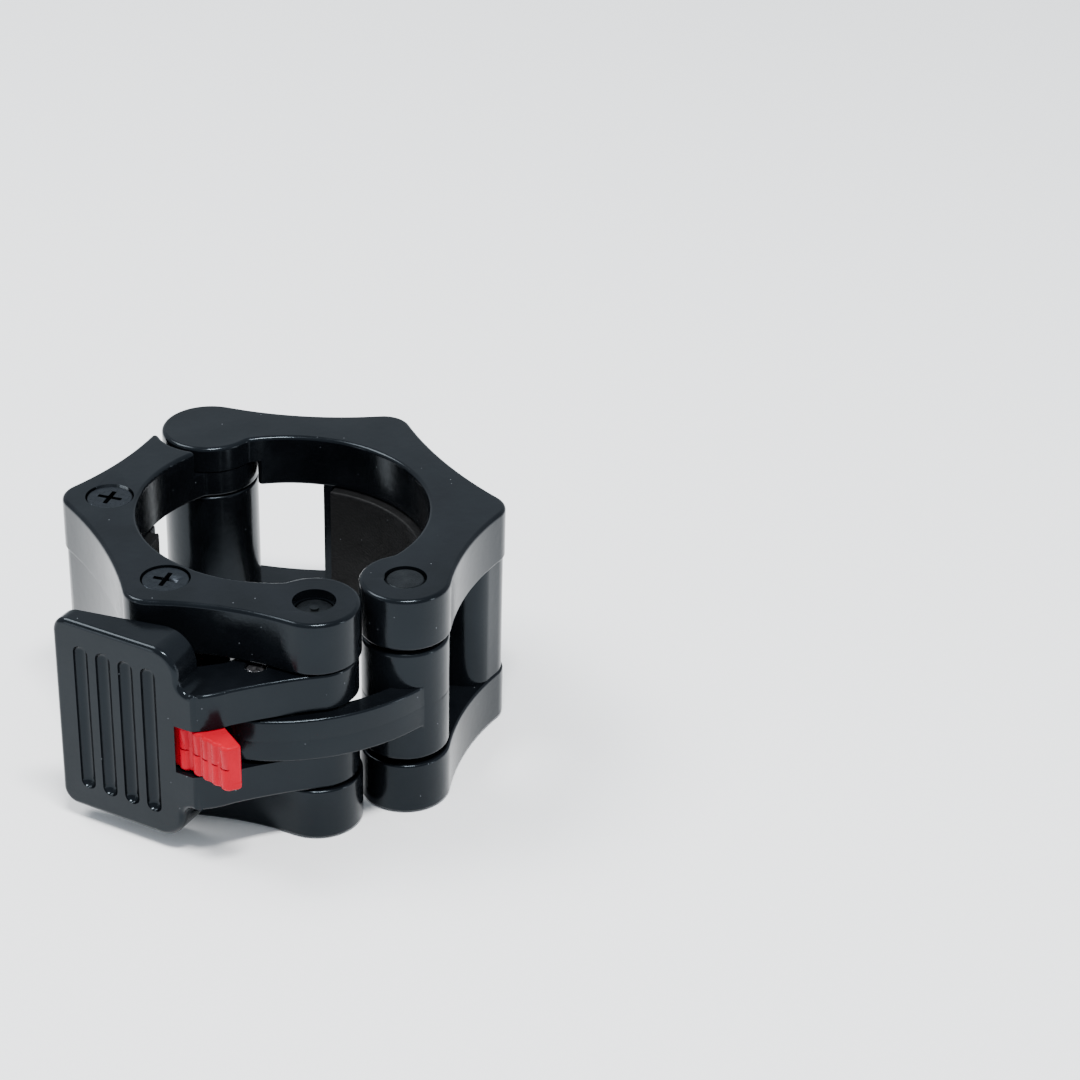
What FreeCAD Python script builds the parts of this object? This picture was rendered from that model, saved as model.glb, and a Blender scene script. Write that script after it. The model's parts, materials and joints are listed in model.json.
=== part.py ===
import FreeCAD, Part
import math
import os

V = FreeCAD.Vector

# Quick-release collar for a 50 mm bar sleeve.
# Frame: the origin is on the bar axis at half the collar's width, Z runs along the bar,
# the mouth that opens faces -Y, the hinge is at +Y, the lever is on the -X side.
# All lengths are in millimetres and all angles in degrees.

# Bore and plates
bar_r = 25.0
pad_proud = 1.7
width = 45.0
plate_t = 10.3
layer_gap = 0.3
edge_round = 0.8
inner_edge_round = 0.5

# Plan of one jaw: a lug, two corners and a hinge head, joined by hollow flanks
lug_x = 8.8
lug_out = 7.6
lug_r = 8.2
corner_out = 10.5
corner_r = 5.3
corner_angles = (64.0, 123.0)
hinge_out = 9.4
head_r = 9.1
notch_gap = 0.9
tip_round = 0.8
lug_hollow_r = 55.0
side_hollow_r = 90.0
hinge_hollow_r = 62.0
lug_blend_r = 4.0
head_blend_r = 2.2

# Middle block of a jaw
block_start_angle = 51.0
block_end_angle = 139.4
block_inset = 0.35
block_mouth_r = 5.0
block_hinge_r = 2.0

# Grip pad, keyed into the block
pad_start_angle = 57.0
pad_end_angle = 135.5
pad_t = 3.4
pad_gap = 0.15
pad_key_angle = 16.0
pad_key_depth = 1.8
pad_edge = 0.5

# Screws and threaded inserts of a jaw
screw_out = 7.1
screw_head_r = 4.25
screw_head_t = 2.6
screw_r = 2.0
screw_length = 17.0
screw_gap = 0.2
screw_sink = 0.3
cross_length = 4.6
cross_width = 0.9
cross_depth = 1.6
insert_r = 3.1
insert_length = 7.0
insert_depth = 1.5
hole_spare = 2.0

# Pins
pin_r = 3.5
pin_seat = 0.03
pin_run = 0.08
pin_chamfer = 0.4
pin_nub_r = 0.8
pin_nub_height = 0.4
hinge_pin_cover = 3.0
pin_end_gap = 0.3
lug_recess_r = 3.85
lug_recess_depth = 1.7
link_pin_recess = 0.25
barrel_end_gap = 0.3

# Lever: pivots on the left lug, its paddle lies round the jaw's lower corner
lever_gap = 0.3
arm_end_r = 7.7
slot_half = 4.8
paddle_inset = 3.0
paddle_length = 25.0
paddle_height = 26.0
paddle_root_round = 5.0
paddle_tip_round = 3.0
paddle_rim_round = 1.0
arm_hollow = 0.4
arm_root_fillet = 2.2

# Outline points of the lever, in shares of the paddle's length from the latch's pin
tip_front_share = (-0.804, 0.804)
tip_back_share = (-0.704, 0.884)
heel_share = (-0.136, 0.304)
root_front_share = (-0.18, -0.148)
neck_share = (-0.06, -0.184)
root_end_share = (0.1, -0.196)
inner_root_share = (-0.1, 0.224)
inner_bend_share = (0.22, 0.156)
slot_end_share = -0.256

# Finger grooves of the paddle
groove_count = 4
groove_first = 5.9
groove_pitch = 4.7
groove_margin = 4.5
groove_r = 1.6
groove_lift = 0.4

# Link between the lever and the right lug
link_pin_reach = 11.0
link_pin_over_angle = 4.0
link_pin_r = 1.75
link_barrel_r = 7.9
link_end_gap = 0.9
strap_half = 4.2
strap_t = 4.2
strap_outer_r = 36.0
strap_sink = 0.7
eye_wall = 1.7
eye_clearance = 0.4
eye_run = 2.05
eye_drop = 1.4

# Catch on the left jaw
catch_start_angle = 41.0
catch_overlap_angle = 1.0
catch_out = 8.0
catch_sink = 1.0
catch_root_angles = (39.7, 46.8)
catch_inner_gap = 0.8
catch_half = 4.3
catch_tip_shares = ((0.06, 0.168), (0.076, 0.12), (0.196, 0.092))
catch_elbow_top_share = (0.156, 0.176)

# Latch: a thumb tab outside, a hook inside
latch_half = 4.5
latch_spacing = 9.7
latch_rise = 0.3
latch_pin_r = 1.25
latch_boss_r = 2.7
latch_pin_cover = 2.0
latch_root_shares = ((-0.232, 0.076), (-0.228, 0.02))
latch_neck_share = (-0.156, -0.108)
latch_belly_share = (-0.096, -0.296)
latch_tip_shares = ((-0.02, -0.44), (0.076, -0.448))
latch_back_share = (0.064, -0.128)
latch_leg_shares = (0.012, -0.1)
latch_leg_foot_share = 0.1
latch_barb_low_share = 0.182
latch_barb_tip_share = (0.048, 0.212)
latch_barb_top_share = 0.28
latch_round = 0.8
latch_rib_count = 4
latch_rib_first_share = 0.13
latch_rib_last_share = 0.87
latch_rib_r = 1.4
latch_rib_lift = 0.85
latch_seam = 0.3

# Latch spring, wound round the latch pin
spring_r = 1.7
spring_wire_r = 0.25
spring_pitch = 0.7
spring_turns = 3.25
spring_leg = 4.2
spring_room = 0.2
spring_leg_room = 0.12

# One overrun for every cut, and the points looked at along an edge
overrun = 1.0
edge_samples = 4

# Derived sizes
half_width = width / 2
plate_in = half_width - plate_t
layer_t = (plate_t - layer_gap) / 2
bore_r = bar_r + pad_proud
notch_r = head_r + notch_gap
pad_back_r = bar_r + pad_t
corner_reach = bar_r + corner_out
screw_reach = bar_r + screw_out
catch_outer_r = bar_r + catch_out
hinge_at = V(0, bar_r + hinge_out, 0)
lug_at = V(lug_x, -bar_r - lug_out, 0)
left_lug_at = V(-lug_x, -bar_r - lug_out, 0)
link_pin_angle = math.radians(180 - link_pin_over_angle)
link_pin_at = left_lug_at + V(math.cos(link_pin_angle), math.sin(link_pin_angle), 0) * link_pin_reach
arm_half = plate_in - lever_gap
paddle_half = half_width - paddle_inset
groove_half = paddle_half - groove_margin
latch_pivot = left_lug_at + V(-link_pin_reach - latch_spacing, latch_rise, 0)


def from_latch(share):
    """A point given in shares of the paddle's length, measured from the latch's pin."""
    return latch_pivot + V(share[0], share[1], 0) * paddle_length


paddle_tip_front = from_latch(tip_front_share)
paddle_tip_back = from_latch(tip_back_share)
paddle_heel = from_latch(heel_share)
paddle_root_front = from_latch(root_front_share)
paddle_root_end = from_latch(root_end_share)


def polar(radius, angle_from_mouth):
    """A point at an angle measured from the mouth, on the right-hand jaw."""
    a = math.radians(angle_from_mouth - 90)
    return V(radius * math.cos(a), radius * math.sin(a), 0)


def lift(point, z):
    return V(point.x, point.y, z)


def cylinder(centre, radius, z_low, z_high):
    return Part.makeCylinder(radius, z_high - z_low, lift(centre, z_low), V(0, 0, 1))


def slab(face, z_low, z_high):
    solid = face.copy()
    solid.translate(V(0, 0, z_low))
    return solid.extrude(V(0, 0, z_high - z_low))


def polygon(points):
    return Part.Face(Part.makePolygon(list(points) + [points[0]]))


def arc(centre, start, end, ccw):
    """An arc about a centre, from one point to another, either way round."""
    a = math.atan2(start.y - centre.y, start.x - centre.x)
    b = math.atan2(end.y - centre.y, end.x - centre.x)
    if ccw and b < a:
        b += 2 * math.pi
    if not ccw and b > a:
        b -= 2 * math.pi
    middle = (a + b) / 2
    radius = start.distanceToPoint(centre)
    via = centre + V(math.cos(middle), math.sin(middle), 0) * radius
    return Part.Arc(start, via, end).toShape()


def meet(c1, r1, c2, r2, towards):
    """Where two circles cross, on the side that is nearer to a point."""
    span = c2 - c1
    along = (r1 ** 2 - r2 ** 2 + span.Length ** 2) / (2 * span.Length)
    rise = math.sqrt(r1 ** 2 - along ** 2)
    u = span * (1 / span.Length)
    n = V(-u.y, u.x, 0)
    first = c1 + u * along + n * rise
    second = c1 + u * along - n * rise
    return min((first, second), key=towards.distanceToPoint)


def touch(centre, radius, other):
    """The point of a circle that faces another centre."""
    d = other - centre
    return centre + d * (radius / d.Length)


def jaw_face(inset):
    """Plan of the right-hand jaw, every outer edge moved in by the inset."""
    axis = V(0, 0, 0)
    corner_1 = polar(corner_reach, corner_angles[0])
    corner_2 = polar(corner_reach, corner_angles[1])
    rounds = [
        (lug_at, lug_r - inset),
        (corner_1, corner_r - inset),
        (corner_2, corner_r - inset),
        (hinge_at, head_r - inset),
    ]
    hollow_sizes = [lug_hollow_r + inset, side_hollow_r + inset, hinge_hollow_r + inset]
    inside = V(bore_r, 0, 0)
    lug_blend = meet(lug_at, rounds[0][1] + lug_blend_r, axis, bore_r - lug_blend_r, inside)
    head_blend = meet(hinge_at, rounds[3][1] + head_blend_r, axis, bore_r - head_blend_r, inside)
    edges = []
    here = touch(lug_at, rounds[0][1], lug_blend)
    first = here
    for (c1, r1), (c2, r2), hollow_r in zip(rounds[:-1], rounds[1:], hollow_sizes):
        hollow = meet(c1, r1 + hollow_r, c2, r2 + hollow_r, (c1 + c2) * 2)
        leave = touch(c1, r1, hollow)
        arrive = touch(c2, r2, hollow)
        edges.append(arc(c1, here, leave, True))
        edges.append(arc(hollow, leave, arrive, False))
        here = arrive
    head_leave = touch(hinge_at, rounds[3][1], head_blend)
    bore_start = head_blend * (bore_r / head_blend.Length)
    bore_stop = lug_blend * (bore_r / lug_blend.Length)
    edges.append(arc(hinge_at, here, head_leave, True))
    edges.append(arc(head_blend, head_leave, bore_start, False))
    edges.append(arc(axis, bore_start, bore_stop, False))
    edges.append(arc(lug_blend, bore_stop, first, False))
    return Part.Face(Part.Wire(edges))


def wedge(start, end):
    """A sector about the bar axis, wide enough to cut any part of a jaw."""
    far = 2 * (corner_reach + corner_r)
    middle = (start + end) / 2
    points = [V(0, 0, 0), polar(far, start), polar(far * 2, middle), polar(far, end)]
    return polygon(points)


def ring_sector(r_in, r_out, start, end, z_low, z_high):
    ring = cylinder(V(0, 0, 0), r_out, z_low, z_high).cut(
        cylinder(V(0, 0, 0), r_in, z_low - overrun, z_high + overrun))
    return ring.common(slab(wedge(start, end), z_low - overrun, z_high + overrun))


def edges_at(solid, z):
    return [e for e in solid.Edges if abs(e.BoundBox.ZMin - z) < layer_gap / 10
            and abs(e.BoundBox.ZMax - z) < layer_gap / 10]


def upright_edges(solid, near, reach):
    """Edges along the bar whose middle lies near a plan point."""
    found = []
    for e in solid.Edges:
        box = e.BoundBox
        upright = box.XLength < layer_gap / 10 and box.YLength < layer_gap / 10
        middle = V((box.XMin + box.XMax) / 2, (box.YMin + box.YMax) / 2, 0)
        if upright and middle.distanceToPoint(near) < reach:
            found.append(e)
    return found


def jaw_plate(notch_on_outside):
    """A jaw's end plate on the +Z side, half cut away round the hinge."""
    plate = slab(jaw_face(0), plate_in, half_width)
    if notch_on_outside:
        notch = cylinder(hinge_at, notch_r, plate_in + layer_t, half_width + overrun)
    else:
        notch = cylinder(hinge_at, notch_r, plate_in - overrun, half_width - layer_t)
    notch.rotate(hinge_at, V(0, 0, 1), 180)
    plate = plate.cut(notch)
    tips = [e for e in upright_edges(plate, hinge_at, notch_r + tip_round)
            if not upright_edges(Part.makeCompound([e]), hinge_at, notch_r - layer_gap / 10)]
    plate = plate.makeFillet(tip_round, tips)
    plate = plate.makeFillet(edge_round, edges_at(plate, half_width))
    return plate.makeFillet(inner_edge_round, edges_at(plate, plate_in))


def lug_holes():
    """Cuts for a lug's pin: the bore through the plate and the recess at its outer face."""
    through = cylinder(lug_at, pin_r + pin_seat, plate_in - overrun, half_width + overrun)
    recess = cylinder(lug_at, lug_recess_r, half_width - lug_recess_depth, half_width + overrun)
    return through.fuse(recess)


def screw_places():
    return [polar(screw_reach, angle) for angle in corner_angles]


def block():
    """The jaw's middle, between its plates, with the pad's seat and the insert holes."""
    body = slab(jaw_face(block_inset), -plate_in, plate_in)
    body = body.common(slab(wedge(block_start_angle, block_end_angle), -half_width, half_width))
    for end, radius in ((block_start_angle, block_mouth_r), (block_end_angle, block_hinge_r)):
        corners = []
        for e in upright_edges(body, V(0, 0, 0), 2 * corner_reach):
            place = V(e.BoundBox.Center.x, e.BoundBox.Center.y, 0)
            angle = math.degrees(math.atan2(place.y, place.x)) + 90
            if abs(angle - end) < catch_overlap_angle and place.Length > bore_r + radius:
                corners.append(e)
        body = body.makeFillet(radius, corners)
    body = body.cut(ring_sector(bar_r - overrun, pad_back_r, pad_start_angle, pad_end_angle,
                                -half_width, half_width))
    middle = (pad_start_angle + pad_end_angle) / 2
    key = ring_sector(bar_r, pad_back_r + pad_key_depth, middle - pad_key_angle / 2,
                      middle + pad_key_angle / 2, -half_width, half_width)
    body = body.cut(key)
    for place in screw_places():
        depth = insert_depth + insert_length
        body = body.cut(cylinder(place, insert_r, -plate_in - overrun, -plate_in + depth))
        body = body.cut(cylinder(place, screw_r + screw_gap, -plate_in - overrun,
                                 -half_width + screw_length + hole_spare))
    return body


def jaw_frame():
    """Main moulding of a jaw: the +Z plate with the hinge head, and the middle block."""
    body = jaw_plate(False).fuse(block()).removeSplitter()
    blind = cylinder(hinge_at, pin_r + pin_run, plate_in, half_width - hinge_pin_cover + pin_end_gap)
    return body.cut(blind).cut(lug_holes())


def jaw_screw_plate():
    """The bolted plate on the -Z side, notched outside round the other jaw's head."""
    plate = jaw_plate(True)
    plate = plate.cut(cylinder(hinge_at, pin_r + pin_run, plate_in - overrun, half_width))
    plate = plate.cut(lug_holes())
    for place in screw_places():
        plate = plate.cut(cylinder(place, screw_r + screw_gap, plate_in - overrun, half_width + overrun))
        plate = plate.cut(cylinder(place, screw_head_r + screw_gap,
                                   half_width - screw_head_t - screw_sink, half_width + overrun))
    return plate.mirror(V(0, 0, 0), V(0, 0, 1))


def jaw_pad():
    """The grip pad with its key rib at the back."""
    z_end = plate_in - pad_gap
    slack = math.degrees(pad_gap / pad_back_r)
    pad = ring_sector(bar_r, pad_back_r - pad_gap, pad_start_angle + slack, pad_end_angle - slack,
                      -z_end, z_end)
    middle = (pad_start_angle + pad_end_angle) / 2
    half_key = pad_key_angle / 2 - slack
    rib = ring_sector(pad_back_r - pad_gap - overrun, pad_back_r + pad_key_depth - pad_gap,
                      middle - half_key, middle + half_key, -z_end, z_end)
    rim = [e for z in (-z_end, z_end) for e in edges_at(pad, z)
           if abs(e.BoundBox.DiagonalLength) > bar_r / 2
           and V(e.Vertexes[0].X, e.Vertexes[0].Y, 0).Length < bar_r + pad_gap]
    pad = pad.makeFillet(pad_edge, rim)
    return pad.fuse(rib).removeSplitter()


def one_screw(place):
    """A cross-head screw, its head in the plate's counterbore, facing -Z."""
    top = -half_width + screw_sink
    head = cylinder(place, screw_head_r, top, top + screw_head_t)
    head = head.makeFillet(screw_sink, edges_at(head, top))
    shank = cylinder(place, screw_r, top + screw_head_t - screw_sink, -half_width + screw_length)
    screw = head.fuse(shank).removeSplitter()
    for turn in (0, 90):
        bar = Part.makeBox(cross_length, cross_width, cross_depth + overrun,
                           V(-cross_length / 2, -cross_width / 2, top - overrun))
        bar.rotate(V(0, 0, 0), V(0, 0, 1), turn + 45)
        bar.translate(place)
        screw = screw.cut(bar)
    return screw


def one_insert(place):
    """A threaded insert pressed into the block."""
    low = -plate_in + insert_depth
    sleeve = cylinder(place, insert_r - pin_seat, low, low + insert_length - pin_seat)
    return sleeve.cut(cylinder(place, screw_r + pin_seat, low - overrun, low + insert_length + overrun))


def group(shapes):
    return Part.makeCompound(shapes)


def pin(centre, radius, z_low, z_high):
    rod = cylinder(centre, radius, z_low, z_high)
    ends = edges_at(rod, z_low) + edges_at(rod, z_high)
    return rod.makeChamfer(pin_chamfer, ends)


def lever_pin():
    """The lever's pin, with a small moulding nub on its sunk top end."""
    top = half_width - lug_recess_depth
    rod = pin(left_lug_at, pin_r, -top, top)
    return rod.fuse(cylinder(left_lug_at, pin_nub_r, 0, top + pin_nub_height)).removeSplitter()


def hinge_barrel():
    """Spacer sleeve round the hinge pin, between the two stacks of eyes."""
    z_low = -plate_in
    z_high = plate_in - barrel_end_gap
    sleeve = cylinder(hinge_at, head_r, z_low, z_high)
    sleeve = sleeve.makeFillet(inner_edge_round, edges_at(sleeve, z_low) + edges_at(sleeve, z_high))
    return sleeve.cut(cylinder(hinge_at, pin_r + pin_run, z_low - overrun, z_high + overrun))


def left_jaw_frame():
    """The same moulding turned over, with the catch that the latch hooks on."""
    body = turned(jaw_frame())
    mount = ring_sector(bore_r + catch_inner_gap, catch_outer_r, catch_start_angle,
                        block_start_angle + catch_overlap_angle,
                        -plate_in, plate_in)
    mount = mount.mirror(V(0, 0, 0), V(1, 0, 0))
    points = [from_latch(share) for share in catch_tip_shares]
    for angle in catch_root_angles:
        root = polar(catch_outer_r - catch_sink, angle)
        points.append(V(-root.x, root.y, 0))
    points.append(from_latch(catch_elbow_top_share))
    tooth = slab(polygon(points), -catch_half, catch_half)
    return body.fuse(mount).fuse(tooth).removeSplitter()


def turned(shape):
    """The left jaw is the right one turned over about the line from mouth to hinge."""
    copy = shape.copy()
    copy.rotate(V(0, 0, 0), V(0, 1, 0), 180)
    return copy


def paddle_frame():
    """Directions on the paddle's front face: up it, and out of it."""
    up = (paddle_tip_front - paddle_root_front).normalize()
    return up, V(-up.y, up.x, 0)


def front_edges(top):
    """Plan of the paddle's front, from a point on its face to the start of the arms."""
    return [
        Part.LineSegment(top, paddle_root_front).toShape(),
        Part.Arc(paddle_root_front, from_latch(neck_share), paddle_root_end).toShape(),
    ]


def paddle():
    """The wide part of the lever, a wedge with rounded corners."""
    edges = front_edges(paddle_tip_front) + [
        Part.LineSegment(paddle_root_end, paddle_heel).toShape(),
        Part.LineSegment(paddle_heel, paddle_tip_back).toShape(),
        Part.LineSegment(paddle_tip_back, paddle_tip_front).toShape(),
    ]
    body = slab(Part.Face(Part.Wire(edges)), -paddle_half, paddle_half)
    up, out = paddle_frame()
    reach = paddle_half * 2
    high = (paddle_tip_front - paddle_root_front).Length
    face = paddle_elevation(high - paddle_height, high)
    block = face.extrude(V(0, reach * 2, 0))
    block.translate(V(0, -reach, 0))
    block.rotate(V(0, 0, 0), V(0, 0, 1), math.degrees(math.atan2(up.y, up.x)))
    block.translate(paddle_root_front)
    return body.common(block)


def paddle_elevation(low, high):
    """Face-on outline with round corners, small at the tip and large above the arms."""
    edges = []
    corners = [(low, -1, paddle_root_round), (high, -1, paddle_tip_round),
               (high, 1, paddle_tip_round), (low, 1, paddle_root_round)]
    last = None
    for x, side, r in corners:
        inward = r if x == low else -r
        upright = V(x, 0, side * (paddle_half - r))
        level = V(x + inward, 0, side * paddle_half)
        centre = V(x + inward, 0, side * (paddle_half - r))
        via = centre + (upright + level - centre * 2).normalize() * r
        start, end = (upright, level) if (x == low) == (side < 0) else (level, upright)
        if last is not None:
            edges.append(Part.LineSegment(last, start).toShape())
        edges.append(Part.Arc(start, via, end).toShape())
        last = end
    first = edges[0].Vertexes[0].Point
    edges.append(Part.LineSegment(last, first).toShape())
    return Part.Face(Part.Wire(edges))


def tangent_from(point, centre, radius, side):
    """Where a line from a point touches a circle, left or right of it."""
    d = centre - point
    angle = math.atan2(d.y, d.x)
    spread = math.asin(radius / d.Length) * side
    length = math.sqrt(d.Length ** 2 - radius ** 2)
    return point + V(math.cos(angle + spread), math.sin(angle + spread), 0) * length


def lever_plan():
    """Plan of the paddle's lower half and the arms, with the round end on the lug's pin."""
    bend = from_latch(inner_bend_share)
    root = from_latch(inner_root_share)
    outer = tangent_from(paddle_root_end, left_lug_at, arm_end_r, -1)
    inner = tangent_from(bend, left_lug_at, arm_end_r, 1)
    chord = outer - paddle_root_end
    n = V(-chord.y, chord.x, 0).normalize()
    middle = (outer + paddle_root_end) / 2 + n * arm_hollow
    front_middle = (paddle_tip_front + paddle_root_front) / 2
    edges = front_edges(front_middle) + [
        Part.Arc(paddle_root_end, middle, outer).toShape(),
        arc(left_lug_at, outer, inner, True),
        Part.LineSegment(inner, bend).toShape(),
        Part.LineSegment(bend, root).toShape(),
        Part.LineSegment(root, paddle_heel).toShape(),
        Part.LineSegment(paddle_heel, front_middle).toShape(),
    ]
    return Part.Face(Part.Wire(edges))


def root_edges(solid, place, normal):
    """Inner corners where the paddle's lower edge, in a plane, meets the arms."""
    level = edges_at(solid, arm_half) + edges_at(solid, -arm_half)
    return [e for e in level if all(abs((v.Point - place).dot(normal)) < layer_gap / 10 for v in e.Vertexes)]


def rim_edges(solid):
    """Edges of the paddle's front, outside the band of the arms."""
    front = Part.Wire(front_edges(paddle_tip_front))
    found = []
    for e in solid.Edges:
        step = (e.LastParameter - e.FirstParameter) / edge_samples
        points = [e.valueAt(e.FirstParameter + step * k) for k in range(edge_samples + 1)]
        near = all(Part.Vertex(lift(q, 0)).distToShape(front)[0] < layer_gap / 10 for q in points)
        if near and max(abs(q.z) for q in points) > arm_half + layer_gap / 2:
            found.append(e)
    return found


def grooves():
    """Finger grooves across the paddle's front, with round ends."""
    up, out = paddle_frame()
    end = groove_half - groove_r
    cuts = []
    for i in range(groove_count):
        place = paddle_tip_front - up * (groove_first + groove_pitch * i) + out * groove_lift
        groove = cylinder(place, groove_r, -end, end)
        for z in (-end, end):
            groove = groove.fuse(Part.makeSphere(groove_r, lift(place, z)))
        cuts.append(groove)
    return cuts


def lever():
    """Paddle and forked arms in one moulding, open between the arms."""
    body = slab(lever_plan(), -arm_half, arm_half).fuse(paddle()).removeSplitter()
    up, out = paddle_frame()
    low = paddle_tip_front - up * paddle_height
    body = body.makeFillet(arm_root_fillet, root_edges(body, low, up))
    body = body.makeFillet(paddle_rim_round, rim_edges(body))
    far = 2 * corner_reach
    slot_end = from_latch((slot_end_share, 0)).x
    body = body.cut(Part.makeBox(far, far * 2, 2 * slot_half, V(slot_end, -far, -slot_half)))
    for groove in grooves():
        body = body.cut(groove)
    body = body.cut(cylinder(left_lug_at, pin_r + pin_run, -half_width, half_width))
    body = body.cut(cylinder(link_pin_at, link_pin_r + pin_seat, -half_width, half_width))
    depth = arm_half - latch_pin_cover
    return body.cut(cylinder(latch_pivot, latch_pin_r + pin_seat, -depth, depth))


def link():
    """Barrel on the right lug's pin and a bowed strap to the lever, with a long eye."""
    eye_r = link_pin_r + eye_clearance
    wall_r = eye_r + eye_wall
    eye_end = link_pin_at - V(eye_run, eye_drop, 0)
    sunk = strap_outer_r - link_barrel_r + strap_sink
    centre = meet(eye_end, strap_outer_r - wall_r, lug_at, sunk, V(0, 0, 0))
    ring = cylinder(centre, strap_outer_r, -strap_half, strap_half).cut(
        cylinder(centre, strap_outer_r - strap_t, -half_width, half_width))
    far = 2 * strap_outer_r
    to_eye = (eye_end - centre).normalize() * far
    to_barrel = (lug_at - centre).normalize() * far
    sector = slab(polygon([centre, centre + to_eye, centre + (to_eye + to_barrel) * 2, centre + to_barrel]),
                  -half_width, half_width)
    strap = ring.common(sector)
    strap = strap.fuse(long_round(link_pin_at, eye_end, wall_r, -strap_half, strap_half))
    barrel_half = plate_in - link_end_gap
    barrel = cylinder(lug_at, link_barrel_r, -barrel_half, barrel_half)
    barrel = barrel.makeFillet(edge_round, edges_at(barrel, barrel_half) + edges_at(barrel, -barrel_half))
    body = barrel.fuse(strap).removeSplitter()
    body = body.cut(cylinder(lug_at, pin_r + pin_run, -half_width, half_width))
    return body.cut(long_round(link_pin_at, eye_end, eye_r, -half_width, half_width))


def long_round(start, end, radius, z_low, z_high):
    """Two rounds and the band between them."""
    u = (end - start).normalize()
    n = V(-u.y, u.x, 0) * radius
    band = slab(polygon([start + n, start - n, end - n, end + n]), z_low, z_high)
    body = cylinder(start, radius, z_low, z_high).fuse(cylinder(end, radius, z_low, z_high)).fuse(band)
    return body.removeSplitter()


def latch():
    """Thumb tab with finger ribs, its boss on the pin and the hook that holds the catch."""
    neck, tip_front, tip_back = (from_latch(share) for share in (latch_neck_share,) + latch_tip_shares)
    barb_tip = from_latch(latch_barb_tip_share)
    right, left = (from_latch((share, 0)).x for share in latch_leg_shares)
    foot, barb_low, barb_top = (from_latch((0, share)).y for share in (
        latch_leg_foot_share, latch_barb_low_share, latch_barb_top_share))
    outline = [from_latch(share) for share in latch_root_shares]
    outline += [neck, from_latch(latch_belly_share), tip_front, tip_back, from_latch(latch_back_share)]
    outline += [latch_pivot + V(latch_boss_r / 2, 0, 0), V(right, foot, 0), V(right, barb_low, 0)]
    outline += [V(barb_tip.x, barb_low, 0), barb_tip, V(right, barb_top, 0), V(left, barb_top, 0)]
    outline.append(V(left, foot, 0))
    body = slab(polygon(outline), -latch_half, latch_half)
    body = body.fuse(cylinder(latch_pivot, latch_boss_r, -latch_half, latch_half)).removeSplitter()
    side = tip_front - neck
    n = V(-side.y, side.x, 0).normalize() * -1
    for i in range(latch_rib_count):
        step = (latch_rib_last_share - latch_rib_first_share) / (latch_rib_count - 1)
        share = latch_rib_first_share + step * i
        place = neck + side * share - n * latch_rib_lift
        body = body.fuse(cylinder(place, latch_rib_r, -latch_half, -latch_seam / 2))
        body = body.fuse(cylinder(place, latch_rib_r, latch_seam / 2, latch_half))
    body = body.removeSplitter()
    body = body.makeFillet(latch_round, upright_edges(body, tip_back, latch_round / 2))
    body = body.cut(cylinder(latch_pivot, latch_pin_r + pin_run, -half_width, half_width))
    room = spring_turns * spring_pitch / 2 + spring_wire_r + spring_room
    outer = spring_r + spring_wire_r + spring_room
    body = body.cut(cylinder(latch_pivot, outer, -room, room))
    for leg in spring_legs(spring_wire_r + spring_leg_room, spring_leg + spring_room):
        body = body.cut(leg)
    return body


def spring_legs(radius, length):
    """One leg runs back to the lever from the coil's top, one down the tab from its foot."""
    rise = spring_turns * spring_pitch / 2
    top = Part.makeCylinder(radius, length, latch_pivot + V(0, spring_r, rise), V(-1, 0, 0))
    foot = Part.makeCylinder(radius, length, latch_pivot + V(spring_r, 0, -rise), V(0, -1, 0))
    return [top, foot]


def latch_spring():
    """Torsion spring round the latch pin."""
    height = spring_turns * spring_pitch
    helix = Part.makeHelix(spring_pitch, height, spring_r)
    profile = Part.Wire(Part.makeCircle(spring_wire_r, V(spring_r, 0, 0), V(0, 1, 0)))
    coil = helix.makePipeShell([profile], True, True)
    coil.translate(latch_pivot + V(0, 0, -height / 2))
    for leg in spring_legs(spring_wire_r, spring_leg):
        coil = coil.fuse(leg)
    return coil


def main():
    os.makedirs("parts", exist_ok=True)
    frame = jaw_frame()
    screw_plate = jaw_screw_plate()
    pad = jaw_pad()
    screws = group([one_screw(place) for place in screw_places()])
    inserts = group([one_insert(place) for place in screw_places()])
    nodes = {
        "right_jaw_frame": frame,
        "right_screw_plate": screw_plate,
        "right_pad": pad,
        "right_screws": screws,
        "right_inserts": inserts,
        "left_jaw_frame": left_jaw_frame(),
        "left_screw_plate": turned(screw_plate),
        "left_pad": turned(pad),
        "left_screws": turned(screws),
        "left_inserts": turned(inserts),
        "hinge_pin": pin(hinge_at, pin_r, -half_width + hinge_pin_cover, half_width - hinge_pin_cover),
        "hinge_barrel": hinge_barrel(),
        "lever_pin": lever_pin(),
        "link_barrel_pin": pin(lug_at, pin_r, -half_width + link_pin_recess, half_width - link_pin_recess),
        "lever": lever(),
        "link": link(),
        "lever_link_pin": pin(link_pin_at, link_pin_r, -arm_half + pin_chamfer, arm_half - pin_chamfer),
        "latch": latch(),
        "latch_pin": pin(latch_pivot, latch_pin_r, -arm_half + latch_pin_cover + pin_end_gap,
                         arm_half - latch_pin_cover - pin_end_gap),
        "latch_spring": latch_spring(),
    }
    for name, shape in nodes.items():
        shape.exportStep("parts/" + name + ".step")
        box = shape.BoundBox
        print(name, "solids", len(shape.Solids), "valid", shape.isValid(), "volume %.1f" % shape.Volume,
              "x %.2f %.2f y %.2f %.2f z %.2f %.2f" % (box.XMin, box.XMax, box.YMin, box.YMax,
                                                       box.ZMin, box.ZMax))


main()
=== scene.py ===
# %% [markdown]
# A barbell collar is a short clamp of moulded plastic that keeps the plates on a bar.
# Two jaws meet round the bar, a hinge joins them at the back, and a lever with a link
# pulls them shut at the mouth. A small red latch keeps the lever down. The CAD model
# gives the exact solids, so this scene loads them first and never moves them: what is
# left to do here is their finish, their finest details and the picture.

import json
import math

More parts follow.
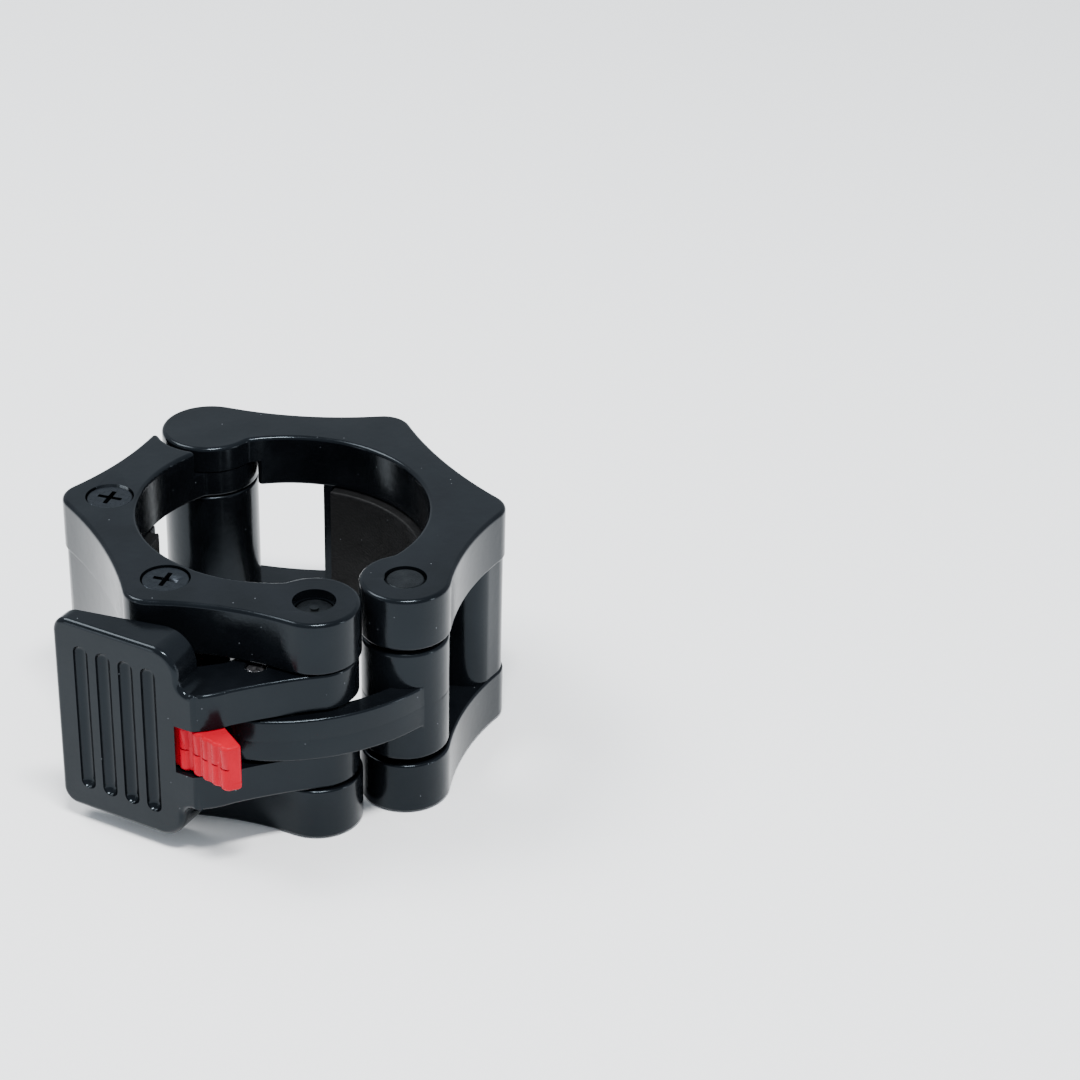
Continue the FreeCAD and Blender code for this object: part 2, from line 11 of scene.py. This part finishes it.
import bmesh
import bpy
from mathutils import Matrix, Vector


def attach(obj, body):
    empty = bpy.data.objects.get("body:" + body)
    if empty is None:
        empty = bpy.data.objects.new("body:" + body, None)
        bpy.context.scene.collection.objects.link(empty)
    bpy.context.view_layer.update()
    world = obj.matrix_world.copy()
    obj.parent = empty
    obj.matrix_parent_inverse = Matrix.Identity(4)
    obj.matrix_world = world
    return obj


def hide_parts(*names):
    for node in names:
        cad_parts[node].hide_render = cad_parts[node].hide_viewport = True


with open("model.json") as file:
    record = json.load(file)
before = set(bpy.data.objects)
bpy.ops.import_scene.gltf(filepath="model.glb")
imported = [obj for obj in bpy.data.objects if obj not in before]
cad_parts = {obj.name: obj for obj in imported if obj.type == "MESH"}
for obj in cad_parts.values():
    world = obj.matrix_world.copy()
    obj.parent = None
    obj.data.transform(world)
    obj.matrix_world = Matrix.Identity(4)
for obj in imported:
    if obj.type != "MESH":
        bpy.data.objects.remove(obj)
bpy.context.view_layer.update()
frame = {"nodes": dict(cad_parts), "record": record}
scene_root = bpy.context.scene.collection
mm = 0.001

# %% [markdown]
# The collar lies flat and is seen from above and to its left. A long lens keeps the two
# plates nearly parallel. The camera stands where the photo's own perspective puts it:
# its place is given in metres, its turn in degrees, and the lens in millimetres for a
# film 36 mm wide.

# %% Camera
lens_mm = 96.01
film_width_mm = 36.0
camera_place = (-0.18347, -0.42177, 0.28408)
camera_turn = (59.6921, -1.3117, -28.6267)

camera_data = bpy.data.cameras.new("studio_camera")
camera_data.lens = lens_mm
camera_data.sensor_width = film_width_mm
studio_camera = bpy.data.objects.new("studio_camera", camera_data)
studio_camera.location = camera_place
studio_camera.rotation_euler = [math.radians(angle) for angle in camera_turn]
scene_root.objects.link(studio_camera)
bpy.context.scene.camera = studio_camera
print("camera lens", lens_mm, "mm at", camera_place)

# %% [markdown]
# The collar lies on a pale floor that meets its lower plates. The floor is part of the
# light as well, because every upright side of glossy black plastic mirrors it. One
# plane does for it, wide enough to fill the picture.

# %% Pale floor
half_width = 22.5 * mm
floor_size = 4.0
floor_place = (0, 0.8, -half_width)

bpy.ops.object.select_all(action="DESELECT")
bpy.ops.mesh.primitive_plane_add(size=floor_size, location=floor_place)
floor = bpy.context.object
floor.name = "studio_floor"
print("floor", floor_size, "m wide, at height", -half_width)

# %% [markdown]
# The floor is plain paper, almost white. Paper is never quite even, so two close tones
# are mixed by a very fine noise, which gives the faint mottle of its fibres.

# %% Paper finish of the floor
paper_cool = (0.93, 0.935, 0.94, 1)
paper_white = (0.96, 0.96, 0.96, 1)
paper_roughness = 0.7
mottle_scale = 900

paper = bpy.data.materials.new("pale_paper")
paper.use_nodes = True
paper_nodes = paper.node_tree.nodes
paper_links = paper.node_tree.links
paper_shader = paper_nodes["Principled BSDF"]
paper_shader.inputs["Roughness"].default_value = paper_roughness
mottle = paper_nodes.new("ShaderNodeTexNoise")
mottle.inputs["Scale"].default_value = mottle_scale
paper_tone = paper_nodes.new("ShaderNodeMix")
paper_tone.data_type = "RGBA"
paper_tone.inputs["A"].default_value = paper_cool
paper_tone.inputs["B"].default_value = paper_white
paper_place = paper_nodes.new("ShaderNodeTexCoord")
paper_links.new(paper_place.outputs["Object"], mottle.inputs["Vector"])
paper_links.new(mottle.outputs["Fac"], paper_tone.inputs["Factor"])
paper_links.new(paper_tone.outputs["Result"], paper_shader.inputs["Base Color"])
floor.data.materials.append(paper)
print("floor finish:", paper.name)

# %% [markdown]
# Glossy black shows almost nothing but what it mirrors, so the light is made of shapes
# to be mirrored. The first of them is the surround: the flat tops mirror its far side,
# pale and slightly cool, and it fills the shadows with soft light.

# %% Surround
surround_colour = (0.82, 0.91, 1.0, 1)
surround_strength = 0.86

surround = bpy.data.worlds.new("white_surround")
surround.use_nodes = True
surround_sockets = surround.node_tree.nodes["Background"].inputs
surround_sockets["Color"].default_value = surround_colour
surround_sockets["Strength"].default_value = surround_strength
bpy.context.scene.world = surround
print("surround", surround_colour, "at strength", surround_strength)

# %% [markdown]
# Two panels light the floor that the upright sides mirror. A wide one hangs high behind
# the collar, to its left. A narrow one hangs above the front, and it also draws the thin
# bright lines on the rounded edges. Two weak strips stand near the floor and give the
# upright bands on the round lugs. Each light is listed with its place, its width and
# height in metres, and its watts, and each is turned towards the middle of the collar.

# %% Panels and strips
soft_panels = {
    "back_left_panel": ((-0.42, 0.46, 0.92), 0.55, 0.45, 12.0),
    "front_top_panel": ((-0.06, -0.36, 1.00), 0.34, 0.12, 19.0),
    "left_strip": ((-0.75, -0.05, 0.12), 0.08, 0.30, 0.40),
    "right_strip": ((0.45, -0.55, 0.12), 0.06, 0.30, 0.80),
}
for name, (place, width, height, watts) in soft_panels.items():
    panel_data = bpy.data.lights.new(name, "AREA")
    panel_data.shape = "RECTANGLE"
    panel_data.size = width
    panel_data.size_y = height
    panel_data.energy = watts
    panel = bpy.data.objects.new(name, panel_data)
    panel.location = place
    panel.rotation_euler = (-Vector(place)).to_track_quat("-Z", "Y").to_euler()
    scene_root.objects.link(panel)
    print(name, watts, "W")

# %% [markdown]
# Moulded plastic isn't one flat tone. The melt flows in soft bands, the mould leaves a
# faint orange peel, handling dulls the surface in patches and scores it with hair-fine
# streaks, and a little dust settles on it. All of that can be made from noise on Object
# coordinates, which never slide over the surface. Each helper below makes one of these,
# so that every finish is a short recipe. The first is soft noise. Its values lie close
# round one half, so their middle range is spread to the two values that are asked for.

# %% Helper for soft noise
noise_range = (0.3, 0.7)


def spread_to(tree, value, given, wanted):
    """A value that is spread from one range to another."""
    spread = tree.nodes.new("ShaderNodeMapRange")
    sockets = ("From Min", "From Max", "To Min", "To Max")
    for socket, limit in zip(sockets, (*given, *wanted)):
        spread.inputs[socket].default_value = limit
    tree.links.new(value, spread.inputs["Value"])
    return spread.outputs["Result"]


def cloud(tree, place, scale, detail, low, high):
    """Soft noise of a given fineness, spread between two values."""
    noise = tree.nodes.new("ShaderNodeTexNoise")
    noise.inputs["Scale"].default_value = scale
    noise.inputs["Detail"].default_value = detail
    tree.links.new(place, noise.inputs["Vector"])
    return spread_to(tree, noise.outputs["Fac"], noise_range, (low, high))


print("soft noise spreads the range", noise_range)

# %% [markdown]
# Streaks are the same noise, drawn out along X: a mapping squeezes it across the other
# two directions. A mapping scales before it turns, so its turn doesn't swing the streaks
# round. It only picks another part of the noise, and so another set of streaks. Specks
# come from a cell pattern, where each cell has one middle point, and all that lies
# within a small radius of it is a speck with a soft edge.

# %% Helpers for streaks and specks
streak_squeeze = 26.0
streak_detail = 2


def streaks(tree, place, turn, scale, low, high):
    """Hair-fine streaks along X. The turn picks which part of the noise they show."""
    squeeze = tree.nodes.new("ShaderNodeMapping")
    squeeze.inputs["Rotation"].default_value = [math.radians(angle) for angle in turn]
    squeeze.inputs["Scale"].default_value = (1.0, streak_squeeze, streak_squeeze)
    tree.links.new(place, squeeze.inputs["Vector"])
    return cloud(tree, squeeze.outputs["Vector"], scale, streak_detail, low, high)


def specks(tree, place, scale, radius):
    """Sparse round specks: 1 on a speck, 0 between them."""
    cells = tree.nodes.new("ShaderNodeTexVoronoi")
    cells.inputs["Scale"].default_value = scale
    tree.links.new(place, cells.inputs["Vector"])
    return spread_to(tree, cells.outputs["Distance"], (radius, radius / 2), (0, 1))


print("streaks are", streak_squeeze, "times as long as wide")

# %% [markdown]
# Two small helpers put the noises together: one mixes two colours by a noise, and the
# other adds two noises.

# %% Helpers that mix and add


def mixed(tree, factor, first, second):
    """Two colours, or the colours of two sockets, mixed by a factor."""
    mix = tree.nodes.new("ShaderNodeMix")
    mix.data_type = "RGBA"
    tree.links.new(factor, mix.inputs["Factor"])
    for socket, value in (("A", first), ("B", second)):
        if isinstance(value, tuple):
            mix.inputs[socket].default_value = (*value, 1)
        else:
            tree.links.new(value, mix.inputs[socket])
    return mix.outputs["Result"]


def added(tree, first, second):
    """The sum of two values."""
    total = tree.nodes.new("ShaderNodeMath")
    total.operation = "ADD"
    tree.links.new(first, total.inputs[0])
    tree.links.new(second, total.inputs[1])
    return total.outputs["Value"]


print("helpers for tone, streaks, specks and sums are ready")

# %% [markdown]
# A finish is two tones in soft patches, uneven gloss with streaks in it, specks of dust,
# and a fine relief of orange peel. The patches of gloss are half the size of the patches
# of tone. What stays constant goes straight onto the shader's own sockets.

# %% A finish from the helpers
tone_detail = 3
gloss_detail = 5
gloss_fineness = 2
streak_scale = 60
streak_dullness = 0.04
streak_pick = (0, 0, 25)
dust_scale = 330
dust_radius = 0.045
grey_dust = (0.10, 0.11, 0.12)
no_tint = (1, 1, 1)
peel_distance = 0.1 * mm


def finish_of(name, tones, rough, patch, peel, peel_depth, specular, tint=no_tint,
              metal=0.0, dust=grey_dust, streak_turn=streak_pick):
    """A finish with two tones, uneven gloss, streaks, dust and a fine relief."""
    material = bpy.data.materials.new(name)
    material.use_nodes = True
    tree = material.node_tree
    shader = tree.nodes["Principled BSDF"]
    shader.inputs["Metallic"].default_value = metal
    shader.inputs["Specular IOR Level"].default_value = specular
    shader.inputs["Specular Tint"].default_value = (*tint, 1)
    place = tree.nodes.new("ShaderNodeTexCoord").outputs["Object"]
    tone = mixed(tree, cloud(tree, place, patch, tone_detail, 0, 1), *tones)
    tone = mixed(tree, specks(tree, place, dust_scale, dust_radius), tone, dust)
    tree.links.new(tone, shader.inputs["Base Color"])
    gloss = added(tree, cloud(tree, place, patch * gloss_fineness, gloss_detail, *rough),
                  streaks(tree, place, streak_turn, streak_scale, 0, streak_dullness))
    tree.links.new(gloss, shader.inputs["Roughness"])
    relief = tree.nodes.new("ShaderNodeBump")
    relief.inputs["Strength"].default_value = peel_depth
    relief.inputs["Distance"].default_value = peel_distance
    height = cloud(tree, place, peel, tone_detail, 0, 1)
    tree.links.new(height, relief.inputs["Height"])
    tree.links.new(relief.outputs["Normal"], shader.inputs["Normal"])
    return material


print("dust specks are about", round(2 * dust_radius / dust_scale / mm, 2), "mm across")

# %% [markdown]
# Now the recipes, one for each material of the collar. The black of the mouldings is
# deep and only their edges flash, so glossy plastic keeps a low specular level with a
# cool tint. The pads are dull, grained rubber. The screws are blackened steel and the
# lug pins are black. The inner pins and the spring are ground steel, and the inserts in
# the jaws are turned brass. The red latch keeps a red tint in its gloss, and the dust
# on it looks red too.

# %% Finishes of the collar
cool_gloss = (0.74, 0.88, 1.0)
red_gloss = (1.0, 0.6, 0.7)
red_dust = (0.6, 0.1, 0.12)
pin_streak_pick = (0, 90, 0)
finishes = {
    "black_plastic": finish_of(
        "moulded_black_plastic",
        tones=((0.0014, 0.0018, 0.0025), (0.0034, 0.0042, 0.0054)),
        rough=(0.12, 0.20), patch=90, peel=620, peel_depth=0.08,
        specular=0.19, tint=cool_gloss),
    "grip_rubber": finish_of(
        "grip_rubber",
        tones=((0.0025, 0.0026, 0.0028), (0.0055, 0.0056, 0.006)),
        rough=(0.42, 0.56), patch=200, peel=2400, peel_depth=0.5, specular=0.14),
    "screw_steel": finish_of(
        "blackened_screw_steel",
        tones=((0.022, 0.026, 0.032), (0.036, 0.042, 0.050)),
        rough=(0.24, 0.34), patch=900, peel=4000, peel_depth=0.12,
        specular=0.5, metal=1.0),
    "insert_brass": finish_of(
        "turned_brass",
        tones=((0.55, 0.38, 0.14), (0.72, 0.52, 0.22)),
        rough=(0.25, 0.4), patch=900, peel=4000, peel_depth=0.15,
        specular=0.5, metal=1.0),
    "pin_steel": finish_of(
        "ground_pin_steel",
        tones=((0.30, 0.30, 0.32), (0.45, 0.45, 0.47)),
        rough=(0.22, 0.36), patch=700, peel=5000, peel_depth=0.12,
        specular=0.5, metal=1.0, streak_turn=pin_streak_pick),
    "dark_pin": finish_of(
        "black_pin",
        tones=((0.003, 0.0036, 0.0044), (0.008, 0.009, 0.010)),
        rough=(0.24, 0.34), patch=400, peel=3000, peel_depth=0.2,
        specular=0.12, tint=cool_gloss),
    "red_plastic": finish_of(
        "moulded_red_plastic",
        tones=((0.33, 0.0008, 0.010), (0.42, 0.0015, 0.015)),
        rough=(0.22, 0.32), patch=160, peel=900, peel_depth=0.12,
        specular=0.09, tint=red_gloss, dust=red_dust),
}
print("finishes:", sorted(finishes))

# %% [markdown]
# A CAD node arrives as loose triangles, which mirror the studio in flat facets. A copy
# of each node is welded, and a limited dissolve makes its flat faces whole again, so
# that its edges can be picked and its rounds can be shaded smooth. The node itself is
# left as it is.

# %% Welded copies of the CAD pieces
slots = {part["node"]: part["material_slot"] for part in frame["record"]["subparts"]}
weld_gap = 0.002 * mm
flat_angle = math.radians(0.6)


def selected_only(piece):
    """Selects one piece and makes it the active one."""
    bpy.ops.object.select_all(action="DESELECT")
    bpy.context.view_layer.objects.active = piece
    piece.select_set(True)


def welded_copy(node):
    """A welded copy of a CAD node, with its flat faces whole and its finish on it."""
    piece = bpy.data.objects.new("moulded_" + node, frame["nodes"][node].data.copy())
    scene_root.objects.link(piece)
    piece.data.materials.clear()
    piece.data.materials.append(finishes[slots[node]])
    selected_only(piece)
    bpy.ops.object.mode_set(mode="EDIT")
    bpy.ops.mesh.select_all(action="SELECT")
    bpy.ops.mesh.remove_doubles(threshold=weld_gap)
    bpy.ops.mesh.dissolve_limited(angle_limit=flat_angle)
    bpy.ops.object.mode_set(mode="OBJECT")
    return piece


moulded = {node: welded_copy(node) for node in sorted(frame["nodes"])}
print("welded", len(moulded), "copies")

# %% [markdown]
# The thumb tab has scallops all along its front, each split at half its height where the
# two halves of the mould met. The CAD latch has four of them, up to its neck. The fifth
# lies on the neck itself. It could be pushed out of the neck's wall, but two short
# upright cylinders, one above and one below the seam, are simpler and truly round. A
# boolean modifier unites each with the copy.

# %% Scallop on the thumb tab's neck
tab_half = 4.5 * mm
tab_seam = 0.15 * mm
scallop_radius = 1.4 * mm
scallop_sides = 64
scallop_place = (-33.56 * mm, -32.98 * mm)


def unite(piece, addition):
    """Unites an addition with the piece, and removes the addition's own object."""
    selected_only(piece)
    union = piece.modifiers.new("union", "BOOLEAN")
    union.operation = "UNION"
    union.solver = "EXACT"
    union.object = addition
    bpy.ops.object.modifier_apply(modifier=union.name)
    bpy.data.objects.remove(addition)


tab = moulded["latch"]
for side in (1, -1):
    bpy.ops.object.select_all(action="DESELECT")
    bpy.ops.mesh.primitive_cylinder_add(
        vertices=scallop_sides, radius=scallop_radius, depth=tab_half - tab_seam,
        location=(*scallop_place, side * (tab_half + tab_seam) / 2))
    scallop = bpy.context.object
    bpy.ops.object.transform_apply(location=True, rotation=True, scale=True)
    unite(tab, scallop)
print("thumb tab with five scallops:", len(tab.data.polygons), "faces")

# %% [markdown]
# Beside the last scallop the CAD latch has a step of a few hundredths of a millimetre,
# too small for a round to run over it. The points next to it are merged, so the tip of
# the tab turns in one curve.

# %% Tip of the thumb tab
tip_step = Vector((-30.015 * mm, -43.275 * mm))
tip_reach = 0.1 * mm
tip_merge = 0.08 * mm


def open_to_pick(piece, kind):
    """Opens one piece in edit mode with nothing selected, to pick points or edges."""
    selected_only(piece)
    bpy.ops.object.mode_set(mode="EDIT")
    bpy.ops.mesh.select_mode(type=kind)
    bpy.ops.mesh.select_all(action="DESELECT")


open_to_pick(tab, "VERT")
tip_cage = bmesh.from_edit_mesh(tab.data)
for corner in tip_cage.verts:
    corner.select_set((corner.co.xy - tip_step).length < tip_reach)
bmesh.update_edit_mesh(tab.data)
bpy.ops.mesh.remove_doubles(threshold=tip_merge)
bpy.ops.object.mode_set(mode="OBJECT")
print("thumb tab with its tip merged:", len(tab.data.polygons), "faces")

# %% [markdown]
# No moulded edge is razor sharp, and it is the rounded edge that catches the light. The
# CAD model already rounds the big outlines. On the lever's arms, the link, the latch and
# the pads the rims at the top and bottom are still sharp, so on the copies these edges
# are picked by their height and bevelled in three steps. Inner corners stay as they are.
# Each piece is listed with the height of its rims and the width of its round, in
# millimetres.

# %% Rounded rims
rim_rounds = {"lever": (11.9, 0.5), "link": (4.2, 0.5), "latch": (4.5, 0.55),
              "left_pad": (12.05, 0.4), "right_pad": (12.05, 0.4)}
rim_sharp = math.radians(38)
rim_gap = 0.02 * mm
rim_steps = 3


def round_rims(piece, height, width):
    """Rounds the outer edges at a height above and below the middle."""
    open_to_pick(piece, "EDGE")
    cage = bmesh.from_edit_mesh(piece.data)
    picked = 0
    for edge in cage.edges:
        level = all(abs(abs(corner.co.z) - height) < rim_gap for corner in edge.verts)
        if level and edge.is_convex and edge.calc_face_angle(0) > rim_sharp:
            edge.select_set(True)
            picked += 1
    bmesh.update_edit_mesh(piece.data)
    bpy.ops.mesh.bevel(offset=width, segments=rim_steps, affect="EDGES",
                       clamp_overlap=False)
    bpy.ops.object.mode_set(mode="OBJECT")
    return picked


for node, (height, width) in rim_rounds.items():
    edges = round_rims(moulded[node], height * mm, width * mm)
    print("rounded", edges, "rim edges of", node, len(moulded[node].data.polygons), "faces")

# %% [markdown]
# A mould has two halves, and where they met the link keeps a fine line round its middle.
# It is a real groove: three bisect cuts make a narrow band at half the height, and the
# middle row of points is pulled in along its normals by about a tenth of a millimetre.

# %% Parting line of the link
line_half = 0.18 * mm
line_depth = 0.14 * mm
row_gap = 0.001 * mm


def parting_line(piece):
    """A fine groove round the piece at half its height."""
    open_to_pick(piece, "VERT")
    for level in (-line_half, 0.0, line_half):
        bpy.ops.mesh.select_all(action="SELECT")
        bpy.ops.mesh.bisect(plane_co=(0, 0, level), plane_no=(0, 0, 1))
    bpy.ops.mesh.select_all(action="DESELECT")
    cage = bmesh.from_edit_mesh(piece.data)
    for corner in cage.verts:
        corner.select_set(abs(corner.co.z) < row_gap)
    picked = sum(corner.select for corner in cage.verts)
    bmesh.update_edit_mesh(piece.data)
    bpy.ops.transform.shrink_fatten(value=-line_depth)
    bpy.ops.object.mode_set(mode="OBJECT")
    return picked


print("parting line of the link:", parting_line(moulded["link"]), "points")

# %% [markdown]
# Shading comes last, when the shapes are done. Rounds are shaded smooth, and each edge
# sharper than 32 degrees stays crisp. Weighted normals keep the flat faces flat beside
# their rounds. Then each copy, already in the finish of its node's material slot, rides
# on the body of its node, so it follows every joint, and the node itself is hidden.

# %% Smooth shading and bodies
smooth_angle = math.radians(32)
bodies = frame["record"]["behaviour"]["bodies"]
body_of_node = {node: body for body, nodes in bodies.items() for node in nodes}


def smooth_shaded(piece):
    """Smooth shading that keeps real corners and flat faces."""
    selected_only(piece)
    bpy.ops.object.shade_smooth_by_angle(angle=smooth_angle)
    bpy.ops.object.modifier_add(type="WEIGHTED_NORMAL")
    piece.modifiers[-1].keep_sharp = True
    bpy.ops.object.modifier_apply(modifier=piece.modifiers[-1].name)


for node, piece in moulded.items():
    smooth_shaded(piece)
    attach(piece, body_of_node[node])
    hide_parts(node)
    print(piece.name, len(piece.data.polygons), "faces on", body_of_node[node])
